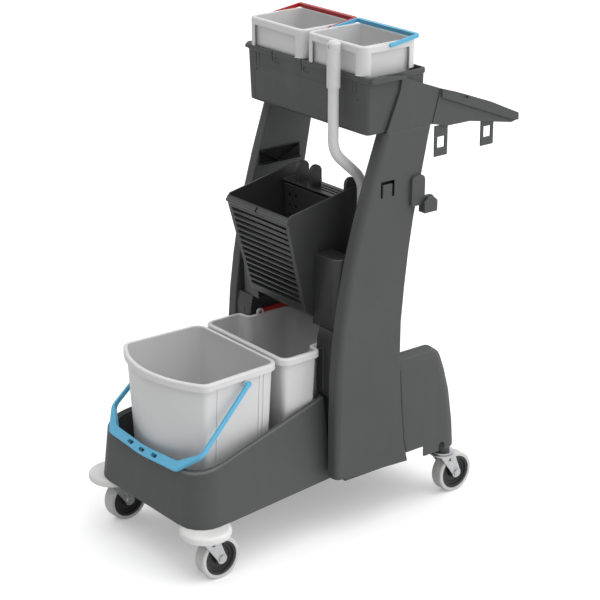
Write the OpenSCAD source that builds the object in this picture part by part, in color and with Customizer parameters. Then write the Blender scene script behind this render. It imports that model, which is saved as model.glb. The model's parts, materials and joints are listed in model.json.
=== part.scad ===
// Double mop bucket trolley: front tub on casters, leaning columns, mop press,
// two mopping buckets, top tray with two small buckets, rear bag arms.
// Millimetres. +Z up, +Y towards the push handle, origin on the floor at the middle.

/* [Casters] */
// Tyre radius
wheel_r = 50; // [40:0.5:60]
// Tyre width
tyre_w = 32; // [24:0.5:40]
// Radius of the dark wheel hub
hub_r = 41; // [30:0.5:46]
// Axle bolt radius
axle_r = 6; // [4:0.25:8]
// Distance the axle trails behind the swivel
trail = 30; // [20:0.5:36]
// Half distance between left and right swivels
track_half = 182.6; // [160:0.1:200]
// Y of the front swivels
swivel_front_y = -405; // [-430:1:-380]
// Distance between front and rear swivels
wheelbase = 701; // [650:1:740]
// Sheet thickness of the fork
fork_t = 3; // [2:0.25:4]
// Radius of the fork crown
crown_r = 31; // [26:0.5:36]
// Gap between the tyre and the crown
crown_gap = 3.5; // [2:0.5:8]
// Radius of the fixed swivel race
race_r = 26; // [18:0.5:30]
// Height of the fixed swivel race
race_h = 4.7; // [3:0.1:8]
// Kingpin radius
kingpin_r = 7; // [5:0.25:10]
// Radius of the stem above the race
stem_r = 5.5; // [4:0.25:8]
// Length of the stem above the race
stem_len = 26; // [20:0.5:27]
// Bumper radius
bumper_r = 58; // [45:0.5:65]
// Bumper height
bumper_h = 20; // [16:0.5:26]

/* [Base] */
// Half width of the tub at its front
tub_front_w = 211; // [190:1:225]
// Half width of the tub where its tapered sides end
tub_rear_w = 161.5; // [158:0.5:170]
// Half width of the tub between the columns
tub_neck_w = 150; // [140:1:151]
// Y of the tub's front face
tub_front_y = -445; // [-455:1:-430]
// Y where the tapered sides end
tub_step_y = -23; // [-50:1:-15]
// Y of the tub's rear wall
tub_rear_y = 118; // [100:1:125]
// Radius of the tub's front corners
tub_corner_r = 58; // [40:1:70]
// Height of the tub's front edge
tub_front_h = 129; // [110:1:150]
// Height of the tub's side rim at its rear end
tub_rear_h = 208; // [190:1:220]
// Lean of the tub's outer walls in degrees
tub_draft = 4; // [0:0.25:6]
// Distance from the outer foot of the wall to the inner wall
tub_wall = 26; // [24:0.5:27]
// Thickness of the tub's floor
tub_floor = 6; // [4:0.5:10]
// Thickness of the chassis plate
plate_t = 12; // [8:0.5:14]
// Rear end of the chassis plate
plate_rear_y = 316; // [300:1:325]
// Height of the wheel housings
housing_h = 259; // [255:1:275]
// Height where the housing's chamfer starts
housing_side_h = 247; // [225:1:250]
// Inner side of the wheel housings
housing_in_x = 158; // [150:1:162]

/* [Columns] */
// Outer side of the columns at the foot
col_foot_x = 211; // [205:0.5:214]
// Outer side of the columns at the tray
col_top_x = 219.5; // [218:0.5:224]
// Column thickness across the trolley
col_t = 34; // [28:0.5:38]
// Wall thickness of the hollow columns
col_wall = 4; // [3:0.25:5]
// Height of the column's foot above the tub's underside
col_foot_h = 5; // [0:0.5:12]
// Height of the shoulder that carries the tray
shoulder_h = 815; // [780:1:840]
// Rounding of the outer front edge
col_round = 13; // [8:0.5:16]

/* [Top] */
// Half width of the tray at its floor
tray_w = 210.6; // [190:0.2:213]
// Y of the tray's front at its floor
tray_front_y = 22; // [10:1:40]
// Y of the tray's rear wall
tray_rear_y = 184; // [175:1:200]
// Tray depth
tray_h = 129; // [100:1:150]
// Flare of the tray walls from floor to rim
tray_flare = 3.8; // [0:0.1:4.4]
// Wall thickness of the tray
tray_wall = 3.5; // [2.5:0.25:5]
// Half width over the tray's side bands
band_x = 227; // [224:0.5:232]
// Rear end of the arms
arm_end_y = 463; // [440:1:480]
// Thickness of the arms
arm_t = 7; // [5:0.25:9]
// Radius of the push handle
handle_r = 9; // [7:0.25:11]
// Width of the bag tabs
tab_w = 38; // [28:1:44]
// Width of the holes in the bag tabs
tab_hole_w = 23; // [14:1:28]
// Height of the holes in the bag tabs
tab_hole_h = 26; // [14:1:32]

/* [Mopping buckets] */
// Height of the bucket rims above the tub's underside
rim_h = 321; // [300:1:340]
// Wall thickness of the buckets
bucket_wall = 3; // [2:0.25:4]
// Overhang of the rims
lip = 7; // [6:0.5:9]
// Height of the downturned rim
skirt_h = 16; // [10:0.5:20]
// Lean of the bucket walls in degrees
bucket_draft = 3; // [1:0.25:3.5]
// Half width of the front bucket's wall at the rear
front_rear_w = 144; // [130:0.5:147]
// Half width of the front bucket's wall at its front corners
front_w = 153; // [146:0.5:157]
// Rear wall of the front bucket
front_back_y = -180; // [-190:1:-178]
// Y of the front bucket's front corners
front_side_y = -377; // [-390:1:-360]
// Bulge of the front bucket's curved front
front_bulge = 52; // [30:1:58]
// Radius of the front bucket's front corners
front_corner_r = 18; // [12:0.5:24]
// Half width of the rear bucket's wide part
rear_w = 145; // [136:0.5:148]
// Half width of the rear bucket's narrow part
rear_neck_w = 114; // [104:0.5:115]
// Front wall of the rear bucket
rear_front_y = -157; // [-161:1:-150]
// Y of the rear bucket's step
rear_step_y = -62; // [-80:1:-56]
// Rear wall of the rear bucket
rear_back_y = 69; // [40:1:74]
// Bail pin radius
pin_r = 4; // [3:0.25:5]
// Thickness of the bail legs
bail_t = 6; // [4:0.25:7]
// Y of the front bail's pivots
front_pivot_y = -267; // [-280:1:-250]
// Drop of the front bail's pivots below the rim
front_pivot_drop = 25; // [24:0.5:40]
// Angle of the hanging front bail below level
front_bail_drop = 43.4; // [30:0.1:43.4]
// Reach of the front bail from its pivots
front_bail_reach = 250; // [245:1:255]
// Y of the rear bail's pivots
rear_pivot_y = -27; // [-30:1:-20]
// Reach of the rear bail from its pivots
rear_bail_reach = 101; // [80:1:102]

/* [Top buckets] */
// Half width over both top buckets
top_w = 203; // [190:0.5:206]
// Space between the two top buckets
top_gap = 12; // [11:0.25:16]
// Front of the top buckets' rims
top_front_y = 13; // [8:1:16]
// Length of the top buckets' rims
top_len = 157; // [130:1:160]
// Height of the top rims above the tub's underside
top_rim_h = 1012; // [1005:1:1030]
// Depth of the corner skirts below the rims
corner_skirt = 49; // [30:1:50]
// Pin radius of the top bails
top_pin_r = 3; // [2:0.25:3.5]
// Thickness of the top bails
top_bail_t = 4.5; // [3:0.25:4.75]

/* [Press] */
// Half width of the press at its front foot
press_w = 102.6; // [90:0.2:106]
// Widening of the press per millimetre of height
press_flare = 0.0448; // [0:0.001:0.05]
// Y of the press's front at its foot
press_front_y = -62; // [-70:1:-50]
// Height of the press's front foot
press_foot_h = 399; // [390:1:420]
// Height of the press's front lip
press_lip_h = 622; // [600:1:640]
// Y of the press's front lip
press_lip_y = -119; // [-125:1:-105]
// Y of the press's rear wall
press_back_y = 95; // [92:1:100]
// Wall thickness of the press
press_wall = 4; // [3:0.25:5]
// Count of slots in the front grille
slot_n = 14; // [8:1:16]
// Height of each slot
slot_h = 9.5; // [4:0.5:10]
// Y of the lever shaft
shaft_y = 78; // [74:0.5:79]
// Height of the lever shaft
shaft_h = 471; // [450:1:500]
// Lever shaft radius
shaft_r = 8; // [6:0.25:9]
// X of the lever
lever_x = 130; // [129:0.5:136]
// Lever tube radius
tube_r = 12; // [9:0.25:12]
// Y of the lever's upright grip
grip_y = -7; // [-20:0.5:2]
// Height of the lever's top end
lever_top_h = 1017; // [960:1:1040]
// Grip radius
grip_r = 15; // [13:0.25:17]
// Grip length
grip_len = 103; // [80:1:130]

/* [Fits] */
// Radial clearance of running fits
run_fit = 0.05; // [0.02:0.01:0.1]
// Gap between seated pieces
seat = 0.3; // [0.1:0.05:0.5]

/* [Hidden] */
$fn = 48;
e = 0.01;
nc = 5;
axle_z = wheel_r;
crown_z = 2 * wheel_r + crown_gap;
race_z = crown_z + fork_t + 0.5 + seat;
seat_z = race_z + race_h;
bumper_z = seat_z - 2;
base_z = bumper_z + bumper_h - 1;
swivel_rear_y = swivel_front_y + wheelbase;
floor_z = base_z + tub_floor;
rim_z = base_z + rim_h;
bucket_z = floor_z;
shoulder_z = base_z + shoulder_h;
tray_floor_z = shoulder_z + 2 + tray_wall;
tray_top_z = shoulder_z + 2 + tray_h;
top_rim_z = base_z + top_rim_h;
col_foot_z = base_z + col_foot_h;
col_bend_z = base_z + 211;
ear_t = 4.5;
ear_x = col_top_x - ear_t;
press_foot_z = base_z + press_foot_h;
press_lip_z = base_z + press_lip_h;
press_low_z = press_foot_z - 33;
shaft_z = base_z + shaft_h;

grey = [0.29, 0.30, 0.30];
pale = [0.80, 0.80, 0.80];
black = [0.10, 0.11, 0.11];
blue = [0.35, 0.68, 0.88];
red = [0.75, 0.10, 0.12];
steel = [0.75, 0.76, 0.77];
dark = [0.18, 0.18, 0.19];

// Plan outlines: corners are [x, y, radius], counter-clockwise seen from above
function unit(v) = v / norm(v);
function xy(c) = [c[0], c[1]];
function bend(a, b) = let (d = b - a) d > 180 ? d - 360 : d < -180 ? d + 360 : d;
function corner(p, q, s, r, n) =
    let (u = unit(p - q), v = unit(s - q), half = acos(u * v) / 2,
        c = q + unit(u + v) * r / sin(half),
        f = q + u * r / tan(half) - c, g = q + v * r / tan(half) - c,
        a = atan2(f[1], f[0]), w = bend(a, atan2(g[1], g[0])))
    [for (i = [0 : n]) c + r * [cos(a + w * i / n), sin(a + w * i / n)]];
function outline(cs, n = nc) = let (m = len(cs))
    [for (i = [0 : m - 1])
        each corner(xy(cs[(i + m - 1) % m]), xy(cs[i]), xy(cs[(i + 1) % m]), cs[i][2], n)];
function grow(pts, d) = let (m = len(pts))
    [for (i = [0 : m - 1])
        let (a = unit(pts[i] - pts[(i + m - 1) % m]), b = unit(pts[(i + 1) % m] - pts[i]), t = unit(a + b))
        pts[i] + d * [t[1], -t[0]] / (a * t)];
function at(pts, z) = [for (p = pts) [p[0], p[1], z]];

// Closed solid through a list of rings with equal point counts
module loft(rings) {
    n = len(rings[0]);
    m = len(rings);
    polyhedron(points = [for (r = rings) each r], convexity = 10, faces = concat(
        [[for (i = [0 : n - 1]) i]],
        [for (j = [0 : m - 2], i = [0 : n - 1]) [j * n + i, (j + 1) * n + i, (j + 1) * n + (i + 1) % n]],
        [for (j = [0 : m - 2], i = [0 : n - 1])
            [j * n + i, (j + 1) * n + (i + 1) % n, j * n + (i + 1) % n]],
        [[for (i = [0 : n - 1]) (m - 1) * n + n - 1 - i]]));
}

// Solid with a side profile of [y, z] points and a half width that grows with height
module wedge(prof, w, k, z0) {
    n = len(prof);
    function hw(p) = w + k * (p[1] - z0);
    polyhedron(points = concat([for (p = prof) [-hw(p), p[0], p[1]]], [for (p = prof) [hw(p), p[0], p[1]]]),
        convexity = 10, faces = concat([[for (i = [0 : n - 1]) i]],
            [for (i = [0 : n - 1]) [i, n + i, n + (i + 1) % n]],
            [for (i = [0 : n - 1]) [i, n + (i + 1) % n, (i + 1) % n]],
            [[for (i = [0 : n - 1]) 2 * n - 1 - i]]));
}

// Slab from x0 to x1 with a side profile of [y, z] points
module slab(x0, x1, prof) {
    translate([x0, 0, 0])
        rotate([90, 0, 90])
            linear_extrude(x1 - x0)
                polygon(prof);
}

module box(lo, hi) {
    translate(lo)
        cube(hi - lo);
}

// Cylinder along X from x0 to x1
module rod(x0, x1, y, z, r) {
    translate([x0, y, z])
        rotate([0, 90, 0])
            cylinder(h = x1 - x0, r = r);
}

module post(x, y, z0, z1, r) {
    translate([x, y, z0])
        cylinder(h = z1 - z0, r = r);
}

// Front tub
function tub_corners(d) = [[tub_front_w - d, tub_front_y + d, tub_corner_r],
    [tub_rear_w - d, tub_step_y - d, 12], [tub_neck_w - d, tub_step_y - d, 5],
    [tub_neck_w - d, tub_rear_y - d, 22], [-tub_neck_w + d, tub_rear_y - d, 22],
    [-tub_neck_w + d, tub_step_y - d, 5], [-tub_rear_w + d, tub_step_y - d, 12],
    [-tub_front_w + d, tub_front_y + d, tub_corner_r]];
tub_0 = outline(tub_corners(0), 5);
tub_1 = outline(tub_corners(1), 5);
function tub_pt(i, d) = tub_0[i] + d * (tub_1[i] - tub_0[i]);
function tub_top(y) = base_z + tub_front_h
    + (tub_rear_h - tub_front_h) * max(0, min(1, (y - tub_front_y) / (tub_step_y - tub_front_y)));
function tub_lean(y) = (tub_top(y) - base_z) * tan(tub_draft);
function tub_rim(d, dz) = [for (i = [0 : len(tub_0) - 1])
    let (p = tub_pt(i, tub_lean(tub_0[i][1]) + d)) [p[0], p[1], tub_top(p[1]) + dz]];
function tub_ring(d, z) = [for (i = [0 : len(tub_0) - 1])
    let (p = tub_pt(i, d)) [p[0], p[1], z]];

module base_tub() {
    lean = tub_lean(tub_step_y);
    color(grey)
        difference() {
            loft([tub_ring(30, base_z), tub_ring(1, base_z), tub_ring(0.2, base_z + 3), tub_rim(0, -9),
                tub_rim(2.5, -2.5), tub_rim(9, 0), tub_rim(tub_wall - lean - 4, -3),
                tub_rim(tub_wall - lean, -8), tub_ring(tub_wall, floor_z + 3),
                tub_ring(tub_wall + 3, floor_z)]);
            for (s = [-1, 1]) {
                post(s * track_half, swivel_front_y, base_z - 1, bumper_z + bumper_h + seat, bumper_r + seat);
                post(s * track_half, swivel_front_y, base_z - 1, seat_z + stem_len + seat, stem_r + seat);
            }
        }
}

// Chassis plate with caster pads and upstands for the columns
module rear_chassis() {
    up_x = col_foot_x - col_t;
    pad_r = 17;
    plate_w = tub_neck_w - 4;
    plate = outline([[plate_w, tub_step_y + 10, 6], [plate_w, plate_rear_y, 20],
        [-plate_w, plate_rear_y, 20], [-plate_w, tub_step_y + 10, 6]]);
    color(grey)
        difference() {
            union() {
                translate([0, 0, base_z - plate_t])
                    linear_extrude(plate_t)
                        polygon(plate);
                for (s = [-1, 1]) {
                    post(s * track_half, swivel_rear_y, seat_z, base_z + 14, pad_r);
                    box([s > 0 ? plate_w - 1 : -track_half, swivel_rear_y - pad_r, base_z - plate_t],
                        [s > 0 ? track_half : -plate_w + 1, swivel_rear_y + pad_r, base_z]);
                    box([s > 0 ? plate_w - 1 : -up_x, tub_step_y + 20, base_z - plate_t],
                        [s > 0 ? up_x : -plate_w + 1, tub_rear_y, base_z]);
                    box([s > 0 ? up_x - 10 : -up_x, tub_step_y + 20, base_z - plate_t],
                        [s > 0 ? up_x : -up_x + 10, tub_rear_y, base_z + 70]);
                }
            }
            for (s = [-1, 1])
                post(s * track_half, swivel_rear_y, seat_z - 1, seat_z + stem_len + seat, stem_r + seat);
        }
}

// Column side view: [height above the tub's underside, front y, rear y]
stations = [[col_foot_h, -57, 160], [60, -57, 147], [164, -57, 137], [265, -55, 130], [364, -47, 130],
    [447, -35, 137], [530, -19, 146], [610, 2, 158], [690, 26, 174], [755, 48, 187], [shoulder_h, 69, 200]];
function col_out(z) = col_foot_x
    + (col_top_x - col_foot_x) * max(0, z - col_bend_z) / (shoulder_z - col_bend_z);
function col_at(h, k) = lookup(h, [for (s = stations) [s[0], s[k]]]);
function col_ring(h, d) = let (z = base_z + h, x = col_out(z), f = col_at(h, 1), r = col_at(h, 2))
    at(outline([[x - col_t + d, f + d, max(2, 4 - d)], [x - d, f + d, col_round - d], [x - d, r - d, 5],
        [x - col_t + d, r - d, max(2, 4 - d)]], 4), z);

module column() {
    n = len(stations) - 1;
    difference() {
        union() {
            loft(concat([col_ring(stations[n][0] - col_wall, col_wall)],
                [for (i = [n - 1 : -1 : 0]) col_ring(stations[i][0], col_wall)],
                [for (s = stations) col_ring(s[0], 0)]));
            slab(ear_x, col_top_x, [[70, shoulder_z - e], [108, shoulder_z + 92], [112, tray_top_z - 13],
                [132, tray_top_z - 17], [224, tray_top_z - 52], [201, shoulder_z - e]]);
        }
        hook_slots();
        slab(col_foot_x - col_t - 1, col_foot_x + 1, [[-70, base_z - 9], [170, base_z - 9],
            [170, col_foot_z], [-60, col_foot_z + 12]]);
    }
}

// Socket for a tool hook in the column's outer side: a tongue framed by three slots
module hook_slots() {
    z = base_z + 690;
    x = col_out(z);
    for (y = [57, 90])
        box([x - 6, y, z - 20], [x + 9, y + 7, z + 18]);
    box([x - 6, 57, z + 10], [x + 9, 97, z + 18]);
}

module right_column() {
    color(grey)
        column();
}

module left_column() {
    color(grey)
        mirror([1, 0, 0])
            column();
}

// Wheel housing behind a column
function house_ring(h, inset, rear, d) = let (f = max(col_at(h, 2), col_at(housing_h, 2)) + 0.5,
    x = col_foot_x - 2 - inset)
    at(outline([[housing_in_x + d, f + d, 4], [x - d, f + d, 4],
        [x - d, rear - d, min(40 - d, x - housing_in_x - 2 * d - 10)],
        [housing_in_x + d, rear - d, 8]], 6), base_z + h);

module housing() {
    t = 4;
    difference() {
        loft([house_ring(housing_h - t, 15, 255, t), house_ring(housing_side_h, 2, 273, t),
            house_ring(146, 0, 307, t), house_ring(64, 0, 320, t), house_ring(0, 0, 325, t),
            house_ring(0, 0, 325, 0), house_ring(64, 0, 320, 0), house_ring(146, 0, 307, 0),
            house_ring(200, 0, 292, 0), house_ring(housing_side_h - 10, 0, 278, 0),
            house_ring(housing_side_h, 2, 273, 0), house_ring(housing_h, 14, 256, 0)]);
        box([housing_in_x - 1, 120, base_z - 1], [col_foot_x + 1, 212, base_z + 26]);
        translate([0, 268, base_z + 12])
            rod(col_foot_x - 12, col_foot_x + 1, 0, 0, 9.5);
        box([col_foot_x - 12, 258.5, base_z - 1], [col_foot_x + 1, 277.5, base_z + 12]);
    }
}

module right_housing() {
    color(grey)
        housing();
}

module left_housing() {
    color(grey)
        mirror([1, 0, 0])
            housing();
}

// Round buffer clamped between a front caster and the tub
module bumper(s) {
    rr = 8;
    color(pale)
        translate([s * track_half, swivel_front_y, bumper_z])
            difference() {
                rotate_extrude($fn = 96)
                    difference() {
                        union() {
                            translate([0, rr])
                                square([bumper_r, bumper_h - 2 * rr]);
                            square([bumper_r - rr, bumper_h]);
                            for (z = [rr, bumper_h - rr])
                                translate([bumper_r - rr, z])
                                    circle(r = rr);
                        }
                        translate([-20, -5])
                            square([20, bumper_h + 10]);
                    }
                post(0, 0, -1, bumper_h + 1, stem_r + seat);
                post(0, 0, -1, seat_z - bumper_z, race_r + seat);
            }
}

module right_bumper() {
    bumper(1);
}

module left_bumper() {
    bumper(-1);
}

// Panel between the columns behind the rear bucket
module back_panel() {
    y = tub_rear_y + seat;
    w = col_foot_x - col_t - seat;
    color(grey)
        difference() {
            union() {
                box([-w, y, base_z], [w, y + 4, base_z + 470]);
                for (x = [-w, -w / 2, w / 2 - 4, w - 4])
                    box([x, y, base_z], [x + 4, y + 10, base_z + 470]);
                box([-w, y, base_z + 466], [w, y + 10, base_z + 470]);
            }
            for (x = [-1, 1])
                translate([x * w / 4, y - 1, base_z + 235])
                    cube([w / 3, 12, 300], center = true);
        }
}

// Tray between the column tops
function tray_ring(f, d) = outline([[tray_w + f - d, tray_front_y - f + d, 10],
    [tray_w + f - d, tray_rear_y - d, 10], [-tray_w - f + d, tray_rear_y - d, 10],
    [-tray_w - f + d, tray_front_y - f + d, 10]]);

module top_tray() {
    z0 = shoulder_z + 2;
    z1 = tray_top_z;
    mid = tray_flare * 0.9;
    front = tray_front_y - tray_flare;
    color(grey)
        difference() {
            union() {
                loft([at(tray_ring(0, 1.5), z0), at(tray_ring(0, 0), z0 + 2),
                    at(tray_ring(mid, 0), z1 - 12),
                    at(tray_ring(mid, -2), z1 - 11), at(tray_ring(tray_flare, -2), z1 - 1),
                    at(tray_ring(tray_flare, -1), z1), at(tray_ring(tray_flare, tray_wall - 0.5), z1),
                    at(tray_ring(tray_flare, tray_wall), z1 - 1),
                    at(tray_ring(0, tray_wall), z0 + tray_wall + 4),
                    at(tray_ring(0, tray_wall + 4), z0 + tray_wall)]);
                for (s = [-1, 1]) {
                    slab(s > 0 ? tray_w + 1 : -band_x, s > 0 ? band_x : -tray_w - 1,
                        [[front + 4, z1 - 12], [front + 8, z1 - 12], [118, z1 - 12.5], [118, z1 - 7],
                            [60, z1], [front + 12, z1], [front + 4, z1 - 6]]);
                    box([s > 0 ? 175 : -tray_w + 2, 72, shoulder_z + seat],
                        [s > 0 ? tray_w - 2 : -175, 178, z0 + 1]);
                }
            }
            for (x = [-105, 0, 110]) {
                box([x - 15, front - 5, z1 - 24], [x - 11, front + 2.4, z1 + 1]);
                box([x - 7, front - 5, z1 - 27], [x + 12, front + 2.4, z1 - 16]);
            }
            for (x = [-181, -170, 163, 174])
                box([x, front - 5, z0 + 6], [x + 3, front + 2.2, z1 - 14]);
            for (x = [-1, 1])
                translate([x * 180, tray_front_y + 1.2, z0 + 75])
                    rotate([90, 0, 0])
                        cylinder(h = 9, r = 2);
            slab(-tray_w + 20, tray_w - 20, [[tray_front_y - 9, z0 - 1], [tray_front_y + 1.2, z0 - 1],
                [tray_front_y - mid + 1.2, z1 - 40], [tray_front_y - 9, z1 - 40]]);
        }
}

// Rear arm with its top band and slotted bag tabs
function arm_top() = [[225, tray_top_z - 52.5], [276, tray_top_z - 69], [375, tray_top_z - 106],
    [arm_end_y, tray_top_z - 146]];
module arm() {
    x = ear_x;
    z = tray_top_z;
    difference() {
        union() {
            slab(x, x + arm_t - 0.5, concat([[201.5, z - 130], [246, z - 141], [315, z - 142],
                [arm_end_y - 18, z - 167], [arm_end_y, z - 163]], [for (i = [3 : -1 : 0]) arm_top()[i]]));
            slab(x, band_x, concat([[225, z - 72], [arm_end_y - 18, z - 159], [arm_end_y, z - 163]],
                [for (i = [3 : -1 : 0]) arm_top()[i]]));
            slab(x - arm_t, x - seat, [[188, z - 116], [315, z - 135], [315, z - 106], [226, z - 66],
                [188, z - 58]]);
            slab(x - seat - e, x + e, [[228, z - 132], [315, z - 135], [315, z - 106], [228, z - 72]]);
            for (y = [214, 355])
                box([x - 2, y, z - 209], [x + 2, y + tab_w, z - 138]);
            rod(x - 12, x + 1, arm_end_y - handle_r - 3, z - 155, handle_r + 3);
        }
        for (y = [214, 355])
            box([x - 20, y + (tab_w - tab_hole_w) / 2, z - 190], [x + 20, y + (tab_w + tab_hole_w) / 2,
                z - 190 + tab_hole_h]);
        slab(x + arm_t, band_x + 1, [[283, z - 50], [283, z - 80], [302, z - 87], [302, z - 50]]);
        rod(x - 20, x + 2, arm_end_y - handle_r - 3, z - 155, handle_r + seat);
    }
}

module right_arm() {
    color(grey)
        arm();
}

module left_arm() {
    color(grey)
        mirror([1, 0, 0])
            arm();
}

module push_handle() {
    color(grey)
        rod(-ear_x - 1, ear_x + 1, arm_end_y - handle_r - 3, tray_top_z - 155, handle_r);
}

// Mop handle hook on the right column's rear edge
module tool_hook() {
    z = base_z + 671;
    lean = atan((col_top_x - col_foot_x) / (shoulder_z - col_bend_z));
    color(grey)
        translate([col_out(z) + seat, 0, z])
            rotate([0, lean, 0])
                union() {
                    slab(0, 8, outline([[142, -34, 3], [180, -34, 3], [180, 36, 12], [142, 36, 12]], 5));
                    slab(0, 8, outline([[170, -52, 3], [208, -52, 3], [208, -16, 8], [170, -16, 3]], 4));
                    box([0, 170, -52], [21, 208, -44]);
                    slab(14.5, 21, [[170, -52], [208, -52], [208, -26], [196, -16], [182, -16], [170, -26]]);
                }
}

// Ribbed plate on the left column's inner side
module press_bracket() {
    z = base_z + 660;
    x0 = -(col_out(z) - col_t) + seat;
    front = 26;
    rear = 146;
    h = 36;
    t = 3;
    deep = 9;
    mid = (front + rear) / 2 - 4;
    color(black)
        translate([x0, 0, z])
            union() {
                box([0, front, 0], [t, rear, h]);
                box([0, front, 0], [deep, rear, t]);
                for (y = [front + 6, rear - 6])
                    rib_between([y, h - t], [mid, t]);
            }

    module rib_between(a, b) {
        w = 1.4;
        n = w * unit([a[1] - b[1], b[0] - a[0]]);
        slab(0, deep, [a + n, b + n, b - n, a - n]);
    }
}

// Buckets
module bucket(pts, z0, z1, w) {
    taper = (z1 - z0) * tan(bucket_draft);
    loft([at(grow(pts, -taper - 4), z0), at(grow(pts, -taper), z0 + 4), at(pts, z1 - w),
        at(grow(pts, lip - w), z1 - w), at(grow(pts, lip - w), z1 - skirt_h),
        at(grow(pts, lip), z1 - skirt_h), at(grow(pts, lip), z1 - 2.5), at(grow(pts, lip - 2.5), z1),
        at(grow(pts, 1 - w), z1), at(grow(pts, -w), z1 - 1.5), at(grow(pts, -w - taper), z0 + w + 6),
        at(grow(pts, -w - taper - 5), z0 + w)]);
}

bulge_r = (pow(front_w, 2) + pow(front_bulge, 2)) / (2 * front_bulge);
function front_arc() = let (a = asin(front_w / bulge_r), cy = front_side_y - front_bulge + bulge_r)
    [for (i = [-4 : 4]) [bulge_r * sin(a * i / 5), cy - bulge_r * cos(a * i / 5)]];
front_plan = concat(front_arc(),
    corner(front_arc()[8], [front_w, front_side_y], [front_rear_w, front_back_y], front_corner_r, 4),
    corner([front_w, front_side_y], [front_rear_w, front_back_y], [0, front_back_y], 20, 4),
    corner([0, front_back_y], [-front_rear_w, front_back_y], [-front_w, front_side_y], 20, 4),
    corner([-front_rear_w, front_back_y], [-front_w, front_side_y], front_arc()[0], front_corner_r, 4));
function front_side_x(y) = front_rear_w + (front_w - front_rear_w)
    * (front_back_y - y) / (front_back_y - front_side_y);
front_pivot_z = rim_z - front_pivot_drop;
front_leg_x = front_side_x(front_pivot_y) + lip + 2;
pin_len = 8;
bail_h = 10;

module front_bucket() {
    wall_x = front_side_x(front_pivot_y) - 2;
    blind_x = front_leg_x - pin_len - seat;
    color(pale)
        difference() {
            union() {
                bucket(front_plan, bucket_z, rim_z, bucket_wall);
                for (s = [-1, 1]) {
                    rod(s > 0 ? wall_x - 1 : -front_leg_x + seat, s > 0 ? front_leg_x - seat : -wall_x + 1,
                        front_pivot_y, front_pivot_z, pin_r + 4);
                    for (y = [-343, -224, -212])
                        scale_x(s)
                            side_rib(y);
                }
            }
            for (s = [-1, 1])
                rod(s > 0 ? blind_x : -front_leg_x - 1, s > 0 ? front_leg_x + 1 : -blind_x,
                    front_pivot_y, front_pivot_z, pin_r + run_fit);
        }
}

// Upright stiffening rib on the side of the front bucket
module side_rib(y) {
    top = rim_z - 4;
    low = bucket_z + 70;
    x = front_side_x(y) - 1;
    lean = (top - low) * tan(bucket_draft);
    proud = 2.8;
    translate([0, y + 2, 0])
        rotate([90, 0, 0])
            linear_extrude(4)
                polygon([[x, top], [x - lean, low], [x + proud - lean, low + 3], [x + proud, top]]);
}

// Blue bail: one rounded strip with finger slots, drawn flat then swung down
module front_bail() {
    r = front_bail_reach;
    x = front_leg_x;
    flare = 13;
    knee = r - 60;
    bar = 22;
    bow = 7;
    end = r - 4;
    outer_x = 128;
    inner_x = 120;
    half = [[x + bail_t, -6, 2], [x + bail_t + flare, knee, 26], [outer_x, end, 22]];
    back = [[inner_x, end - bar, 14], [x + flare, knee - 4, 20], [x, -6, 2]];
    strip = outline(concat(half, [[0, end + bow, 300]], flip(half),
        flip(back), [[0, end - bar + bow, 300]], back), 4);
    color(blue)
        translate([0, front_pivot_y, front_pivot_z])
            rotate([180 + front_bail_drop, 0, 0])
                difference() {
                    union() {
                        linear_extrude(bail_h, center = true)
                            polygon(strip);
                        for (s = [-1, 1]) {
                            rod(s > 0 ? x : -x - bail_t, s > 0 ? x + bail_t : -x, 0, 0, bail_h / 2 + 2);
                            rod(s > 0 ? x - pin_len : -x - 1, s > 0 ? x + 1 : -x + pin_len, 0, 0, pin_r);
                        }
                    }
                    for (px = [-46, 0, 46])
                        translate([px, end - bar / 2 + bow * (1 - abs(px) / outer_x), 0])
                            finger_slot();
                }
}

function flip(pts) = [for (i = [len(pts) - 1 : -1 : 0]) [-pts[i][0], pts[i][1], pts[i][2]]];

module finger_slot() {
    w = 12;
    h = 9;
    for (m = [-1, 1])
        translate([m * w / 2, 0, 0])
            cylinder(h = 2 * bail_h, r = h / 2, center = true);
    cube([w, h, 2 * bail_h], center = true);
}

module scale_x(s) {
    mirror([s < 0 ? 1 : 0, 0, 0])
        children();
}

rear_plan = outline([[rear_w, rear_front_y, 18], [rear_w, rear_step_y, 9], [rear_neck_w, rear_step_y, 13],
    [rear_neck_w, rear_back_y, 34], [-rear_neck_w, rear_back_y, 34], [-rear_neck_w, rear_step_y, 13],
    [-rear_w, rear_step_y, 9], [-rear_w, rear_front_y, 18]], 4);
rear_bail_h = 10;
rear_pivot_z = rim_z + rear_bail_h / 2 + seat;

module rear_bucket() {
    lug = rear_neck_w - 4;
    color(pale)
        difference() {
            union() {
                bucket(rear_plan, bucket_z, rim_z, bucket_wall);
                for (s = [-1, 1]) {
                    rod(s > 0 ? lug : -lug - 6, s > 0 ? lug + 6 : -lug, rear_pivot_y, rear_pivot_z, 9);
                    box([s > 0 ? lug : -lug - 6, rear_pivot_y - 9, rim_z - 2], [s > 0 ? lug + 6 : -lug,
                        rear_pivot_y + 9, rear_pivot_z]);
                }
            }
            for (s = [-1, 1])
                rod(s > 0 ? lug - 1 : -lug - 7, s > 0 ? lug + 7 : -lug + 1, rear_pivot_y, rear_pivot_z,
                    pin_r + run_fit);
        }
}

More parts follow.
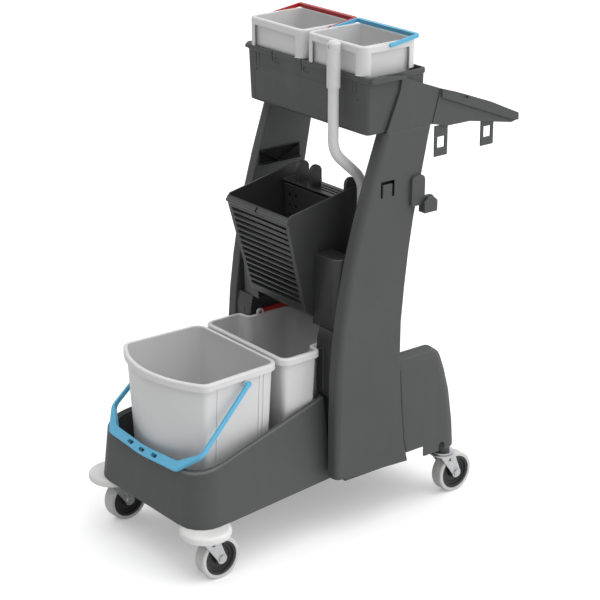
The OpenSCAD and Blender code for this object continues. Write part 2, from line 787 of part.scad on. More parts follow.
// Flat bail lying back on a rim: legs outside x, pins pointing inwards
module flat_bail(x, t, r, h, pin, pr) {
    for (s = [-1, 1]) {
        scale_x(s)
            linear_extrude(h, center = true)
                polygon([[x, 0], [x + t, 0], [x + t, r - 4], [x + t - 4, r], [x - 8, r], [x - 8, r - 9],
                    [x, r - 9]]);
        rod(s > 0 ? x : -x - t, s > 0 ? x + t : -x, 0, 0, h / 2);
        rod(s > 0 ? x - pin : -x - 1, s > 0 ? x + 1 : -x + pin, 0, 0, pr);
    }
    linear_extrude(h, center = true)
        polygon([[-x + 7, r - 9], [x - 7, r - 9], [x - 7, r], [-x + 7, r]]);
}

module rear_bail() {
    color(red)
        translate([0, rear_pivot_y, rear_pivot_z])
            flat_bail(rear_neck_w + 2 + seat, 5, rear_bail_reach, rear_bail_h, 5.5, pin_r);
}

// Top buckets with corner skirts
top_rim_w = top_w - top_gap / 2;
top_mid_x = top_gap / 2 + top_rim_w / 2;
top_pivot_y = top_front_y + top_len / 2;
top_pivot_z = top_rim_z - 5;
top_bail_h = 9;
top_bail_reach = top_len / 2 + 2;
top_bail_tilt = asin((5 + top_bail_h / 2 + seat) / (top_bail_reach - 9));
function top_plan() = let (a = top_rim_w / 2 - lip, f = top_front_y + lip, b = top_front_y + top_len - lip)
    outline([[a, f, 14], [a, b, 14], [-a, b, 14], [-a, f, 14]], 5);

module top_bucket(s) {
    rim = grow(top_plan(), lip);
    c = 24;
    color(pale)
        translate([s * top_mid_x, 0, 0])
            difference() {
                union() {
                    bucket(top_plan(), tray_floor_z, top_rim_z, bucket_wall);
                    translate([0, 0, top_rim_z - skirt_h - corner_skirt])
                        linear_extrude(corner_skirt + 1)
                            intersection() {
                                difference() {
                                    polygon(rim);
                                    polygon(grow(rim, -bucket_wall));
                                }
                                for (x = [-1, 1], y = [top_front_y, top_front_y + top_len])
                                    translate([x * top_rim_w / 2, y])
                                        square(2 * c, center = true);
                            }
                    for (m = [-1, 1])
                        rod(m > 0 ? top_rim_w / 2 - lip - 3 : -top_rim_w / 2 + 1, m > 0 ? top_rim_w / 2 - 1
                            : -top_rim_w / 2 + lip + 3, top_pivot_y, top_pivot_z, top_pin_r + 1.8);
                }
                for (m = [-1, 1])
                    rod(m > 0 ? top_rim_w / 2 - 10 : -top_rim_w / 2 - 1, m > 0 ? top_rim_w / 2 + 1
                        : -top_rim_w / 2 + 10, top_pivot_y, top_pivot_z, top_pin_r + run_fit);
            }
}

module top_bail(s) {
    translate([s * top_mid_x, top_pivot_y, top_pivot_z])
        rotate([top_bail_tilt, 0, 0])
            flat_bail(top_rim_w / 2 + 0.6, top_bail_t, top_bail_reach, top_bail_h, 8, top_pin_r);
}

module top_left_bucket() {
    top_bucket(-1);
}

module top_right_bucket() {
    top_bucket(1);
}

module top_left_bail() {
    color(red)
        top_bail(-1);
}

module top_right_bail() {
    color(blue)
        top_bail(1);
}

// Press basket with its slotted sloping front
function press_hw(z) = press_w + press_flare * (z - press_foot_z);
press_lean = atan2(press_front_y - press_lip_y, press_lip_z - press_foot_z);
module press_basket() {
    t = press_wall;
    zf = press_foot_z;
    zl = press_lip_z;
    lowz = press_low_z;
    run = norm([press_front_y - press_lip_y, zl - zf]);
    step = (run - 26) / slot_n;
    back = press_back_y;
    wing_top = base_z + 536;
    deck_z = zl + 21;
    color(black)
        difference() {
            union() {
                difference() {
                    wedge([[press_front_y, zf], [-14, lowz], [back, lowz], [back, zl + 52], [77, zl + 52],
                        [press_lip_y + 8, zl + 16], [press_lip_y, zl + 8], [press_lip_y, zl]],
                        press_w, press_flare, zf);
                    wedge([[press_front_y + t + 1, zf + t], [-12, lowz + t], [back - t, lowz + t],
                        [back - t, zl + 80], [press_lip_y + t, zl + 80], [press_lip_y + t, zl]],
                        press_w - t, press_flare, zf);
                    wedge([[back - 2 * t, deck_z], [back + 1, deck_z], [back + 1, zl + 80],
                        [back - 2 * t, zl + 80]], press_w - t, press_flare, zf);
                }
                box([-press_hw(zl + 17) + 2, 40, zl + 17], [press_hw(zl + 17) - 2, back - 1, deck_z]);
                for (x = [-66, -20, 104]) {
                    box([x, 45, zl + 18], [x + 8, 77, zl + 56]);
                    rod(x, x + 8, 61, zl + 56, 16);
                }
                for (s = [-1, 1])
                    scale_x(s)
                        press_wing(wing_top);
                wedge([[press_lip_y - 4, zl - 2], [press_lip_y + 1, zl - 4], [press_lip_y + 1, zl + 6],
                    [press_lip_y - 4, zl + 4]], press_w, press_flare, zf);
            }
            translate([0, press_front_y, zf])
                rotate([press_lean, 0, 0])
                    for (i = [0 : slot_n - 1])
                        translate([0, 0, 14 + step * (i + 0.5)])
                            cube([2 * (press_hw(zf + step * i) - 11), 16, slot_h], center = true);
            box([-3, press_lip_y - 6, zl - 16], [3, press_lip_y + 2.5, zl + 10]);
            for (y = [52, 64, 76])
                box([-14, y, zl + 10], [92, y + 6, zl + 30]);
            rod(-press_hw(shaft_z) - 1, press_hw(shaft_z) + 1, shaft_y, shaft_z, shaft_r + run_fit);
            for (x = [-70, -35, 0, 35, 70])
                post(x, 30, lowz - 1, lowz + t + 1, 7);
        }
}

// Side wing that carries the press between the columns
module press_wing(top) {
    low = press_low_z;
    round = 8;
    bow = 24;
    // Plan of the wing at height z, drawn in by d on its three free sides
    function plan(z, in_d, d) = let (x0 = press_hw(z) - 1 + in_d, x1 = col_out(z) - col_t - seat - d)
        at(outline([[x0, -40 + d, 2], [x1, -34 + d, bow - d], [x1, 16 - d, 3], [x0, 16 - d, 2]], 5), z);
    difference() {
        loft([plan(low, 0, 0), plan(top - round, 0, 0),
            plan(top - round / 4, 0, round / 4), plan(top, 0, round)]);
        loft([plan(low - 1, press_wall, press_wall), plan(top - 2 * round, press_wall, press_wall)]);
    }
}

// Post under each wing, standing on the tub's rim beside the rear bucket
module press_post(s) {
    foot = base_z + tub_rear_h + seat;
    top = press_low_z - seat;
    x0 = rear_neck_w + lip + 3;
    x1 = col_foot_x - col_t - seat;
    color(black)
        scale_x(s)
            difference() {
                slab(x0, x1, [[-46, foot], [62, foot], [62, top - 12], [50, top], [-40, top],
                    [-46, top - 30]]);
                box([x0 + 4, -38, foot - 1], [x1 - 4, 54, top - 16]);
                box([x0 + 22, -47, foot + 10], [x0 + 25, -44.5, top - 34]);
            }
}

module right_post() {
    press_post(1);
}

module left_post() {
    press_post(-1);
}

// Perforated jaw: a hollow wedge that the lever's shaft swings towards the grille
module press_jaw() {
    w = press_w - press_wall - 2.5;
    k = press_flare;
    z0 = shaft_z;
    top = press_lip_z + 13;
    color(black)
        difference() {
            wedge([[44, z0 - 42], [shaft_y + 3, z0 - 16], [shaft_y + 9, z0 - 8], [shaft_y + 9, z0 + 8],
                [shaft_y + 4, top], [38, top]], w + k * (z0 - press_foot_z), 0.02, z0);
            wedge([[48, z0 - 34], [60, z0 - 24], [60, z0 + 20], [shaft_y + 1, z0 + 30], [shaft_y, top + 1],
                [42, top + 1]], w + k * (z0 - press_foot_z) - 4, 0.02, z0);
            rod(-w - 20, w + 20, shaft_y, z0, shaft_r + run_fit);
            for (x = [-84, -60, 60, 84], z = [z0 + 10 : 26 : top - 20])
                translate([x, 30, z])
                    rotate([-90, 0, 0])
                        cylinder(h = 20, r = 4.5);
        }
}

module lever_shaft() {
    color(steel)
        rod(-press_hw(shaft_z) - 6, lever_x + tube_r, shaft_y, shaft_z, shaft_r);
}

// Bent lever tube in the plane x = lever_x: rings along its centre line
lever_bend_r = 66;
lever_bend_a = 48;
lever_bend_z = base_z + 663;
lever_slope = (shaft_y - grip_y - 2 * lever_bend_r * (1 - cos(lever_bend_a))) / sin(lever_bend_a);
lever_back_z = lever_bend_z + 2 * lever_bend_r * sin(lever_bend_a) + lever_slope * cos(lever_bend_a);
function tube_ring(y, z, a) = [for (i = [0 : 23]) let (t = i * 15)
    [lever_x + tube_r * cos(t), y + tube_r * sin(t) * cos(a), z + tube_r * sin(t) * sin(a)]];
function bend_in(a) = tube_ring(shaft_y - lever_bend_r + lever_bend_r * cos(a),
    lever_bend_z + lever_bend_r * sin(a), a);
function bend_out(a) = tube_ring(grip_y + lever_bend_r - lever_bend_r * cos(a),
    lever_back_z - lever_bend_r * sin(a), a);

module press_lever() {
    steps = 8;
    color(pale)
        difference() {
            union() {
                loft(concat([tube_ring(shaft_y, shaft_z, 0)],
                    [for (i = [0 : steps]) bend_in(lever_bend_a * i / steps)],
                    [for (i = [0 : steps]) bend_out(lever_bend_a * (1 - i / steps))],
                    [tube_ring(grip_y, base_z + lever_top_h - 4, 0)]));
                rod(lever_x - tube_r, lever_x + tube_r, shaft_y, shaft_z, shaft_r + 6);
            }
            rod(lever_x - tube_r - 1, lever_x + tube_r + 1, shaft_y, shaft_z, shaft_r + run_fit);
        }
}

module lever_grip() {
    top = base_z + lever_top_h;
    color(pale)
        difference() {
            union() {
                post(lever_x, grip_y, top - grip_len, top - 5, grip_r);
                translate([lever_x, grip_y, top - 5])
                    cylinder(h = 5, r1 = grip_r, r2 = grip_r - 5);
            }
            post(lever_x, grip_y, top - grip_len - 1, top - 4 + seat, tube_r + 0.1);
            translate([lever_x, grip_y - grip_r + 2.5, top - 12])
                rotate([90, 0, 0])
                    cylinder(h = 4, r = 2.5);
        }
}

// Caster pieces, drawn about the swivel at x, y
module head(x, y) {
    color(steel)
        union() {
            post(x, y, race_z, seat_z, race_r);
            post(x, y, crown_z - 0.3 - e, race_z + e, kingpin_r);
            post(x, y, crown_z - 4.3, crown_z - seat, kingpin_r + 3);
            post(x, y, seat_z - e, seat_z + stem_len, stem_r);
        }
}

module fork(x, y) {
    in_x = tyre_w / 2 + 1;
    color(steel)
        difference() {
            union() {
                post(x, y, crown_z, crown_z + fork_t + 0.5, crown_r);
                for (s = [-1, 1])
                    translate([x + (s > 0 ? in_x : -in_x - fork_t), y, 0])
                        rotate([90, 0, 90])
                            linear_extrude(fork_t)
                                union() {
                                    polygon([[-22, crown_z + e], [22, crown_z + e],
                                        [trail + 11, axle_z + 4], [trail - 12, axle_z - 2]]);
                                    translate([trail, axle_z])
                                        circle(r = 12.5);
                                }
            }
            post(x, y, crown_z - 1, crown_z + fork_t + 2, kingpin_r + run_fit);
            rod(x - in_x - fork_t - 1, x + in_x + fork_t + 1, y + trail, axle_z, axle_r + run_fit);
            box([x - in_x - fork_t - 1, y + 3, crown_z - 17], [x + in_x + fork_t + 1, y + 11, crown_z - 10]);
        }
}

module axle(x, y) {
    out_x = tyre_w / 2 + 1 + fork_t;
    color(steel)
        union() {
            rod(x - out_x - 1, x + out_x + 1, y + trail, axle_z, axle_r);
            for (s = [-1, 1])
                rod(s > 0 ? x + out_x + seat : x - out_x - seat - 3.5, s > 0 ? x + out_x + seat + 3.5
                    : x - out_x - seat, y + trail, axle_z, axle_r + 3);
        }
}

module hub(x, y) {
    w = tyre_w / 2;
    color(dark)
        translate([x, y + trail, axle_z])
            rotate([0, 90, 0])
                rotate_extrude($fn = 72)
                    polygon([[axle_r + run_fit, -w - 0.7], [14, -w - 0.7], [16, -6], [26, -6], [28, -9],
                        [33, -9], [35, -w + 2], [hub_r, -w + 2], [hub_r, w - 2], [35, w - 2], [33, 9],
                        [28, 9], [26, 6], [16, 6], [14, w + 0.7], [axle_r + run_fit, w + 0.7]]);
}

module tyre(x, y) {
    w = tyre_w / 2;
    f = 4;
    color(pale)
        translate([x, y + trail, axle_z])
            rotate([0, 90, 0])
                rotate_extrude($fn = 96)
                    union() {
                        translate([hub_r + 0.1, -w])
                            square([wheel_r - hub_r - f - 0.1, 2 * w]);
                        translate([hub_r + 0.1, -w + f])
                            square([wheel_r - hub_r - 0.1, 2 * w - 2 * f]);
                        for (s = [-1, 1])
                            translate([wheel_r - f, s * (w - f)])
                                circle(r = f);
                    }
}

module front_right_head() {
    head(track_half, swivel_front_y);
}

module front_right_fork() {
    fork(track_half, swivel_front_y);
}

module front_right_axle() {
    axle(track_half, swivel_front_y);
}

module front_right_hub() {
    hub(track_half, swivel_front_y);
}

module front_right_tyre() {
    tyre(track_half, swivel_front_y);
}

module front_left_head() {
    head(-track_half, swivel_front_y);
}

module front_left_fork() {
    fork(-track_half, swivel_front_y);
}

module front_left_axle() {
    axle(-track_half, swivel_front_y);
}

module front_left_hub() {
    hub(-track_half, swivel_front_y);
}

module front_left_tyre() {
    tyre(-track_half, swivel_front_y);
}

module rear_right_head() {
    head(track_half, swivel_rear_y);
}

module rear_right_fork() {
    fork(track_half, swivel_rear_y);
}

module rear_right_axle() {
    axle(track_half, swivel_rear_y);
}

module rear_right_hub() {
    hub(track_half, swivel_rear_y);
}

module rear_right_tyre() {
    tyre(track_half, swivel_rear_y);
}

module rear_left_head() {
    head(-track_half, swivel_rear_y);
}

module rear_left_fork() {
    fork(-track_half, swivel_rear_y);
}

module rear_left_axle() {
    axle(-track_half, swivel_rear_y);
}

module rear_left_hub() {
    hub(-track_half, swivel_rear_y);
}

module rear_left_tyre() {
    tyre(-track_half, swivel_rear_y);
}

base_tub();
rear_chassis();
right_housing();
left_housing();
right_bumper();
left_bumper();
right_column();
left_column();
back_panel();
top_tray();
right_arm();
left_arm();
push_handle();
tool_hook();
press_bracket();
front_bucket();
front_bail();
rear_bucket();
rear_bail();
top_left_bucket();
top_left_bail();
top_right_bucket();
top_right_bail();
press_basket();
right_post();
left_post();
press_jaw();
lever_shaft();
press_lever();
lever_grip();
front_right_head();
front_right_fork();
front_right_axle();
front_right_hub();
front_right_tyre();
front_left_head();
front_left_fork();
front_left_axle();
front_left_hub();
front_left_tyre();
rear_right_head();
rear_right_fork();
rear_right_axle();
rear_right_hub();
rear_right_tyre();
rear_left_head();
rear_left_fork();
rear_left_axle();
rear_left_hub();
rear_left_tyre();
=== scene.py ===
"""Looks of the double mop bucket trolley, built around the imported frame."""
import json
import math

import bpy
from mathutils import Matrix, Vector

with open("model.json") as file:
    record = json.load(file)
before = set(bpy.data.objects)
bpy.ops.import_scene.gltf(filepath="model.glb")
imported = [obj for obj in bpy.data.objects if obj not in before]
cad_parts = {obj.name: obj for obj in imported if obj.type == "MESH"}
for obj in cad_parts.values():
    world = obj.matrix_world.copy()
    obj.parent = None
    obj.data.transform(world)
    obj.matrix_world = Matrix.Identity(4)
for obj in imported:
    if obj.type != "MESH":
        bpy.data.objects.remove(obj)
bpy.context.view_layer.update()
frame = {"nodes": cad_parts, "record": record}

scene = bpy.context.scene
nodes = frame["nodes"]
MM = 0.001

# Camera at the photograph's view: angles in degrees, lens and sensor in millimetres, the rest in metres
CAMERA_AZIMUTH = 51.59
CAMERA_ELEVATION = 20.73
CAMERA_LENS = 115.62
CAMERA_SENSOR = 36.0
CAMERA_PLACE = (3.265, -2.585, 2.088)
CAMERA_REACH = 60.0

# Colours of the plastics, rubbers and plated steel, in linear light
GREY = (0.076, 0.080, 0.078)
BLACK = (0.026, 0.0275, 0.0265)
PALE = (0.63, 0.63, 0.63)
BUMPER = (0.70, 0.70, 0.69)
TYRE = (0.56, 0.56, 0.55)
HUB = (0.022, 0.022, 0.023)
ZINC = (0.60, 0.61, 0.62)
BLUE = (0.10, 0.415, 0.64)
RED = (0.42, 0.010, 0.013)

# Moulded plastic: places of dark, plain and light mottling in the noise, and how far scuffs shift roughness
MOTTLE_DARK = 0.3
MOTTLE_PLAIN = 0.55
MOTTLE_LIGHT = 0.75
SCUFF = 0.06

# Painted highlight on rims: how much lighter, and the upward part of the normal at the start, peak and end
# of the highlight
RIM_HIGHLIGHT = 1.9
RIM_SLOPES = (0.16, 0.42, 0.86)

# Softened edges: widths and distances in millimetres, angles in degrees, areas in square metres
PLAIN_WIDTH = 0.7
WIDTHS = {
    "base_tub": 1.4, "right_column": 1.4, "left_column": 1.4, "right_housing": 1.6, "left_housing": 1.6,
    "press_basket": 1.3, "tool_hook": 1.4,
    "front_bucket": 0.8, "rear_bucket": 1.2, "top_left_bucket": 1.2, "top_right_bucket": 1.2,
    "front_bail": 1.2, "rear_bail": 1.2, "top_left_bail": 1.2, "top_right_bail": 1.2,
}
MERGE_WITHIN = 0.01
BEVEL_STEPS = 2
FLAT_ANGLE = 0.6
SMOOTH_ANGLE = 34
SHARP_ANGLE = 36
FOLD_ANGLE = 170
SLIVER_AREA = 2e-7
# Shares above which a face counts as folded, by its edges, and an edge as unsound, by its faces
FOLD_SHARE = 0.0001
UNSOUND_SHARE = 0.001

# Stage: a pale floor, in metres, that keeps the shadow, and lobes of the sky by direction and strength
FLOOR_HALF = 14
FLOOR_TONE = 0.80
FLOOR_LIFT = 0.28
LOBES = [((0.0, 0.0, 1.0), 2.4), ((0.7, 0.7, 0.25), 1.75), ((1.0, -0.1, 0.12), 0.5)]
LOBE_POWER = 3.0
WHITE = (1.0, 1.0, 1.0, 1.0)


def make_camera():
    azimuth = math.radians(CAMERA_AZIMUTH)
    elevation = math.radians(CAMERA_ELEVATION)
    level = math.cos(elevation)
    aim = Vector((-math.sin(azimuth) * level, math.cos(azimuth) * level, -math.sin(elevation)))
    data = bpy.data.cameras.new("camera")
    data.sensor_width = CAMERA_SENSOR
    data.lens = CAMERA_LENS
    data.clip_end = CAMERA_REACH
    camera = bpy.data.objects.new("camera", data)
    scene.collection.objects.link(camera)
    camera.location = CAMERA_PLACE
    camera.rotation_euler = aim.to_track_quat("-Z", "Y").to_euler()
    scene.camera = camera


class Tree:
    """A material's nodes, in the object's own coordinates."""

    def __init__(self, name):
        self.material = bpy.data.materials.new(name)
        self.material.use_nodes = True
        self.tree = self.material.node_tree
        self.tree.nodes.clear()
        self.out = self.add("ShaderNodeOutputMaterial")
        self.coords = self.add("ShaderNodeTexCoord").outputs["Object"]

    def add(self, kind, **inputs):
        node = self.tree.nodes.new(kind)
        for key, value in inputs.items():
            node.inputs[key.replace("_", " ")].default_value = value
        return node

    def link(self, source, target):
        self.tree.links.new(source, target)

    def stretched(self, scale):
        mapping = self.add("ShaderNodeMapping", Scale=scale)
        self.link(self.coords, mapping.inputs["Vector"])
        return mapping.outputs["Vector"]

    def noise(self, scale, detail=3.0, rough=0.5, vector=None):
        node = self.add("ShaderNodeTexNoise", Scale=scale, Detail=detail, Roughness=rough)
        self.link(vector or self.coords, node.inputs["Vector"])
        return node.outputs["Fac"]

    def ramp(self, factor, stops):
        node = self.add("ShaderNodeValToRGB")
        elements = node.color_ramp.elements
        while len(elements) < len(stops):
            elements.new(0.5)
        for element, (place, colour) in zip(elements, stops):
            element.position = place
            element.color = (*colour, 1.0)
        self.link(factor, node.inputs["Fac"])
        return node.outputs["Color"]

    def spread(self, value, low, high, start=0.3, end=0.7):
        node = self.add("ShaderNodeMapRange", From_Min=start, From_Max=end, To_Min=low, To_Max=high)
        self.link(value, node.inputs["Value"])
        return node.outputs["Result"]

    def bump(self, height, strength, distance, normal=None):
        node = self.add("ShaderNodeBump", Strength=strength, Distance=distance)
        self.link(height, node.inputs["Height"])
        if normal is not None:
            self.link(normal, node.inputs["Normal"])
        return node.outputs["Normal"]

    def finished(self, shader_output):
        self.link(shader_output, self.out.inputs["Surface"])
        return self.material


def tone(colour, factor):
    return tuple(min(1.0, channel * factor) for channel in colour)


def painted_rim_highlight(tree, broad, colour, mottle, highlight):
    """Mottled colour, with a painted highlight where a surface slopes upward like a rounded rim, lighter by
    the highlight factor.
    """
    start, peak, end = RIM_SLOPES
    plain = (1.0 / highlight,) * 3
    full = (1.0,) * 3
    split = tree.add("ShaderNodeSeparateXYZ")
    tree.link(tree.add("ShaderNodeNewGeometry").outputs["Normal"], split.inputs["Vector"])
    highlit_slopes = tree.ramp(split.outputs["Z"], [(start, plain), (peak, full), (end, plain)])
    lighter = tree.ramp(broad, [
        (MOTTLE_DARK, tone(colour, highlight * (1 - mottle))),
        (MOTTLE_LIGHT, tone(colour, highlight * (1 + mottle))),
    ])
    blend = tree.add("ShaderNodeMix")
    blend.data_type = "RGBA"
    blend.blend_type = "MULTIPLY"
    blend.inputs["Factor"].default_value = 1.0
    tree.link(lighter, blend.inputs["A"])
    tree.link(highlit_slopes, blend.inputs["B"])
    return blend.outputs["Result"]


def moulded(name, colour, rough, grain, grain_height, specular=0.5, mottle=0.05, highlight=None):
    """Injection-moulded plastic: soft mottling, a fine sparked grain and faint scuffs.
    With highlight, surfaces that slope upward like a rounded rim carry a painted highlight, lighter by that
    factor."""
    tree = Tree(name)
    shader = tree.add("ShaderNodeBsdfPrincipled", Specular_IOR_Level=specular)
    broad = tree.noise(scale=5.0, detail=4.0, rough=0.55)
    if highlight:
        base = painted_rim_highlight(tree, broad, colour, mottle, highlight)
    else:
        base = tree.ramp(broad, [
            (MOTTLE_DARK, tone(colour, 1 - mottle)),
            (MOTTLE_PLAIN, colour),
            (MOTTLE_LIGHT, tone(colour, 1 + mottle)),
        ])
    tree.link(base, shader.inputs["Base Color"])
    streak = tree.noise(scale=30.0, detail=6.0, rough=0.6, vector=tree.stretched((1.0, 1.0, 0.15)))
    tree.link(tree.spread(streak, low=rough - SCUFF, high=rough + SCUFF), shader.inputs["Roughness"])
    wave = tree.bump(tree.noise(scale=18.0, detail=2.0, rough=0.5), strength=0.12, distance=1.5 * MM)
    fine = tree.noise(scale=grain, detail=2.0, rough=0.6)
    skin = tree.bump(fine, strength=0.35, distance=grain_height * MM, normal=wave)
    tree.link(skin, shader.inputs["Normal"])
    return tree.finished(shader.outputs["BSDF"])


def metal(name, colour, rough):
    """Zinc plate: spangled tone, fine brushing and small dull patches."""
    tree = Tree(name)
    shader = tree.add("ShaderNodeBsdfPrincipled", Metallic=1.0)
    patch = tree.noise(scale=120.0, detail=4.0, rough=0.6)
    base = tree.ramp(patch, [(0.3, tone(colour, 0.86)), (0.7, tone(colour, 1.06))])
    tree.link(base, shader.inputs["Base Color"])
    brush = tree.noise(scale=260.0, detail=3.0, rough=0.6, vector=tree.stretched((0.08, 1.0, 1.0)))
    tree.link(tree.spread(brush, low=rough - 0.08, high=rough + 0.14), shader.inputs["Roughness"])
    tree.link(tree.bump(brush, strength=0.15, distance=0.2 * MM), shader.inputs["Normal"])
    return tree.finished(shader.outputs["BSDF"])


def rubber(name, colour, rough):
    """Soft grey elastomer: powdery tone, dusty patches, a faint pebbled skin."""
    tree = Tree(name)
    shader = tree.add("ShaderNodeBsdfPrincipled", Specular_IOR_Level=0.35)
    dust = tree.noise(scale=22.0, detail=6.0, rough=0.65)
    base = tree.ramp(dust, [(0.28, tone(colour, 0.9)), (0.5, colour), (0.72, tone(colour, 1.05))])
    tree.link(base, shader.inputs["Base Color"])
    dull = tree.noise(scale=60.0, detail=3.0)
    tree.link(tree.spread(dull, low=rough - 0.07, high=rough + 0.07), shader.inputs["Roughness"])
    pebbles = tree.noise(scale=1400.0, detail=2.0)
    tree.link(tree.bump(pebbles, strength=0.3, distance=0.12 * MM), shader.inputs["Normal"])
    return tree.finished(shader.outputs["BSDF"])


# Finishes: name, colour, roughness, and for moulded ones the grain's scale and its height in millimetres
finish = {
    "grey_plastic": moulded("grey_plastic", GREY, 0.6, 2200.0, 0.12, specular=0.25),
    "black_plastic": moulded("black_plastic", BLACK, 0.38, 1500.0, 0.06, specular=0.35),
    "pale_plastic": moulded("pale_plastic", PALE, 0.42, 1100.0, 0.04, specular=0.4, mottle=0.025),
    "pale_bumper": rubber("pale_bumper", BUMPER, 0.55),
    "pale_tyre": rubber("pale_tyre", TYRE, 0.6),
    "hub_plastic": moulded("hub_plastic", HUB, 0.45, 1800.0, 0.08),
    "zinc_steel": metal("zinc_steel", ZINC, 0.3),
    "lever_tube": moulded("lever_tube", PALE, 0.36, 2600.0, 0.05, mottle=0.02),
    "pale_grip": rubber("pale_grip", tone(TYRE, 1.1), 0.5),
    "blue_plastic": moulded("blue_plastic", BLUE, 0.34, 1500.0, 0.04),
    "red_plastic": moulded("red_plastic", RED, 0.34, 1500.0, 0.04),
    # The tub's plastic carries a painted highlight on its upward-sloping rim faces
    "tub_highlit_plastic": moulded("tub_highlit_plastic", GREY, 0.55, 2200.0, 0.12, specular=0.25, highlight=RIM_HIGHLIGHT),
    # Press bracket: the black plastic much darker and hardly glossy, painted shade for its recess
    "shaded_black": moulded("shaded_black", tone(BLACK, 0.25), 0.6, 1500.0, 0.06, specular=0.08),
}
# Edges of the finishes, lighter and smoother: partly wear, partly painted highlight, which is strongest on
# the black plastics and the tub
edge_wear_and_highlight = {
    "grey_plastic": moulded("grey_edge", tone(GREY, 1.28), 0.5, 2200.0, 0.08, specular=0.3),
    # Black edges: lighter as wear and, far more, as painted highlight
    "black_plastic": moulded("black_edge", tone(BLACK, 2.8), 0.3, 1500.0, 0.04, specular=0.45),
    "pale_plastic": moulded("pale_edge", tone(PALE, 1.06), 0.36, 1100.0, 0.03, specular=0.4, mottle=0.025),
    "blue_plastic": moulded("blue_edge", tone(BLUE, 1.12), 0.28, 1500.0, 0.03),
    "red_plastic": moulded("red_edge", tone(RED, 1.15), 0.28, 1500.0, 0.03),
    # The tub's edges, lighter by the rim's factor, are a painted highlight
    "tub_highlit_plastic": moulded("tub_highlight_edge", tone(GREY, RIM_HIGHLIGHT), 0.4, 2200.0, 0.06, specular=0.4),
    # The bracket's rib edges, lighter than the black plastic, are a painted highlight
    "shaded_black": moulded("shaded_black_edge", tone(BLACK, 2.4), 0.4, 1500.0, 0.04, specular=0.3),
}


class Group:
    """A modifier's node group, which passes the mesh on through its nodes."""

    def __init__(self, name):
        self.group = bpy.data.node_groups.new(name, "GeometryNodeTree")
        for way in ("INPUT", "OUTPUT"):
            self.group.interface.new_socket("Geometry", in_out=way, socket_type="NodeSocketGeometry")
        self.mesh = self.add("NodeGroupInput").outputs[0]

    def add(self, kind, **settings):
        node = self.group.nodes.new(kind)
        for key, value in settings.items():
            setattr(node, key, value)
        return node

    def link(self, source, target):
        self.group.links.new(source, target)

    def through(self, node):
        self.link(self.mesh, node.inputs["Geometry"])
        self.mesh = node.outputs["Geometry"]

    def edge_angle(self):
        return self.add("GeometryNodeInputMeshEdgeAngle").outputs["Unsigned Angle"]

    def compare(self, operation, value, limit):
        node = self.add("FunctionNodeCompare", data_type="FLOAT", operation=operation)
        node.inputs["B"].default_value = limit
        self.link(value, node.inputs["A"])
        return node.outputs["Result"]

    def logic(self, operation, first, second):
        node = self.add("FunctionNodeBooleanMath", operation=operation)
        self.link(first, node.inputs[0])
        self.link(second, node.inputs[1])
        return node.outputs["Boolean"]

    def on_domain(self, domain, value):
        node = self.add("GeometryNodeFieldOnDomain", domain=domain, data_type="FLOAT")
        self.link(value, node.inputs["Value"])
        return node.outputs["Value"]

    def finished(self):
        self.link(self.mesh, self.add("NodeGroupOutput").inputs[0])
        return self.group


def clean_group():
    """Drops the imported normals and joins the mesh's split points."""
    group = Group("clean_mesh")
    strip = group.add("GeometryNodeRemoveAttribute")
    strip.inputs["Name"].default_value = "custom_normal"
    group.through(strip)
    merge = group.add("GeometryNodeMergeByDistance")
    merge.inputs["Distance"].default_value = MERGE_WITHIN * MM
    group.through(merge)
    return group.finished()


def edge_group():
    """Bevel weight on sharp edges, leaving out those of sliver and folded faces."""
    group = Group("true_edges")
    area = group.add("GeometryNodeInputMeshFaceArea").outputs["Area"]
    angle = group.edge_angle()
    folds = group.on_domain("EDGE", group.compare("GREATER_THAN", angle, math.radians(FOLD_ANGLE)))
    folded = group.compare("GREATER_THAN", folds, FOLD_SHARE)
    unsound = group.logic("OR", group.compare("LESS_THAN", area, SLIVER_AREA), folded)
    sound = group.compare("LESS_THAN", group.on_domain("FACE", unsound), UNSOUND_SHARE)
    sharp = group.compare("GREATER_THAN", angle, math.radians(SHARP_ANGLE))
    store = group.add("GeometryNodeStoreNamedAttribute", domain="EDGE", data_type="FLOAT")
    store.inputs["Name"].default_value = "bevel_weight_edge"
    group.link(group.logic("AND", sharp, sound), store.inputs["Value"])
    group.through(store)
    return group.finished()


def smooth_group():
    """Shades the mesh smooth, except across edges sharper than the smooth angle."""
    group = Group("smooth_by_angle")
    faces = group.add("GeometryNodeSetShadeSmooth", domain="FACE")
    faces.inputs["Shade Smooth"].default_value = True
    group.through(faces)
    edges = group.add("GeometryNodeSetShadeSmooth", domain="EDGE")
    edges.inputs["Shade Smooth"].default_value = False
    sharp = group.compare("GREATER_THAN", group.edge_angle(), math.radians(SMOOTH_ANGLE))
    group.link(sharp, edges.inputs["Selection"])
    group.through(edges)
    return group.finished()


CLEAN = clean_group()
EDGES = edge_group()
SMOOTH = smooth_group()


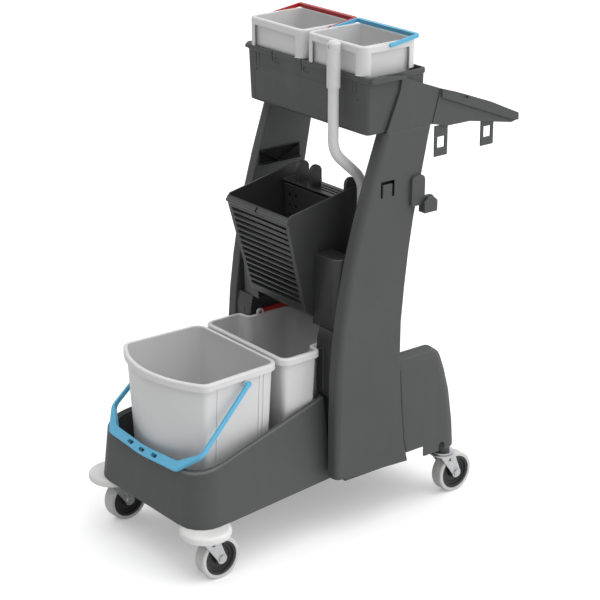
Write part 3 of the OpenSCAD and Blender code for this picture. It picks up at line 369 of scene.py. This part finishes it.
def dress(obj, slot, width):
    """Gives a CAD node its finish, and softened edges by modifiers alone."""
    obj.data.materials.clear()
    obj.data.materials.append(finish[slot])
    obj.modifiers.new("clean", "NODES").node_group = CLEAN
    flat = obj.modifiers.new("flat", "DECIMATE")
    flat.decimate_type = "DISSOLVE"
    flat.angle_limit = math.radians(FLAT_ANGLE)
    obj.modifiers.new("true_edges", "NODES").node_group = EDGES
    bevel = obj.modifiers.new("edges", "BEVEL")
    bevel.width = width * MM
    bevel.segments = BEVEL_STEPS
    bevel.limit_method = "WEIGHT"
    bevel.use_clamp_overlap = False
    bevel.offset_type = "ABSOLUTE"
    # Bevel faces take the edge finish: wear, and painted highlight
    if slot in edge_wear_and_highlight:
        obj.data.materials.append(edge_wear_and_highlight[slot])
        bevel.material = 1
    obj.modifiers.new("smooth", "NODES").node_group = SMOOTH
    obj.modifiers.new("weigh", "WEIGHTED_NORMAL").keep_sharp = True


def dress_nodes():
    """Each node takes the finish of its slot, except two that have one of their own: the tub, with a
    painted highlight on its rim, and the press bracket, a darker black painted as shade.
    """
    slots = {part["node"]: part["material_slot"] for part in frame["record"]["subparts"]}
    slots.update(base_tub="tub_highlit_plastic", press_bracket="shaded_black")
    for name, obj in nodes.items():
        dress(obj, slots[name], WIDTHS.get(name, PLAIN_WIDTH))


def make_floor():
    """Pale floor, lifted towards white for the camera alone."""
    corners = [(x * FLOOR_HALF, y * FLOOR_HALF, 0) for x, y in ((-1, -1), (1, -1), (1, 1), (-1, 1))]
    data = bpy.data.meshes.new("floor")
    data.from_pydata(corners, [], [(0, 1, 2, 3)])
    floor = bpy.data.objects.new("floor", data)
    scene.collection.objects.link(floor)
    tree = Tree("pale_floor")
    matte = tree.add("ShaderNodeBsdfDiffuse", Color=(FLOOR_TONE, FLOOR_TONE, FLOOR_TONE, 1.0))
    lift = tree.add("ShaderNodeMath")
    lift.operation = "MULTIPLY"
    lift.inputs[1].default_value = FLOOR_LIFT
    tree.link(tree.add("ShaderNodeLightPath").outputs["Is Camera Ray"], lift.inputs[0])
    glow = tree.add("ShaderNodeEmission")
    tree.link(lift.outputs["Value"], glow.inputs["Strength"])
    both = tree.add("ShaderNodeAddShader")
    tree.link(matte.outputs["BSDF"], both.inputs[0])
    tree.link(glow.outputs["Emission"], both.inputs[1])
    data.materials.append(tree.finished(both.outputs["Shader"]))


def make_world():
    """Soft lobes light the object; camera, reflected and transmitted rays see plain white."""
    world = bpy.data.worlds.new("studio")
    scene.world = world
    world.use_nodes = True
    tree = world.node_tree
    tree.nodes.clear()

    def math_node(operation, first, second):
        node = tree.nodes.new("ShaderNodeMath")
        node.operation = operation
        tree.links.new(first, node.inputs[0])
        if isinstance(second, float):
            node.inputs[1].default_value = second
        else:
            tree.links.new(second, node.inputs[1])
        return node.outputs["Value"]

    def background():
        node = tree.nodes.new("ShaderNodeBackground")
        node.inputs["Color"].default_value = WHITE
        return node

    sky = tree.nodes.new("ShaderNodeTexCoord")
    total = None
    for direction, strength in LOBES:
        side = tree.nodes.new("ShaderNodeVectorMath")
        side.operation = "DOT_PRODUCT"
        side.inputs[1].default_value = Vector(direction).normalized()
        tree.links.new(sky.outputs["Generated"], side.inputs[0])
        facing = math_node("MAXIMUM", side.outputs["Value"], 0.0)
        lobe = math_node("MULTIPLY", math_node("POWER", facing, LOBE_POWER), strength)
        total = lobe if total is None else math_node("ADD", total, lobe)
    soft = background()
    tree.links.new(total, soft.inputs["Strength"])
    white = background()
    white.inputs["Strength"].default_value = 1.0
    path = tree.nodes.new("ShaderNodeLightPath")
    seen = math_node("MAXIMUM", path.outputs["Is Camera Ray"], path.outputs["Is Transmission Ray"])
    mirrored = math_node("MAXIMUM", seen, path.outputs["Is Glossy Ray"])
    mix = tree.nodes.new("ShaderNodeMixShader")
    tree.links.new(mirrored, mix.inputs["Fac"])
    tree.links.new(soft.outputs["Background"], mix.inputs[1])
    tree.links.new(white.outputs["Background"], mix.inputs[2])
    out = tree.nodes.new("ShaderNodeOutputWorld")
    tree.links.new(mix.outputs["Shader"], out.inputs["Surface"])


make_camera()
dress_nodes()
make_floor()
make_world()

scene.view_settings.view_transform = "Standard"
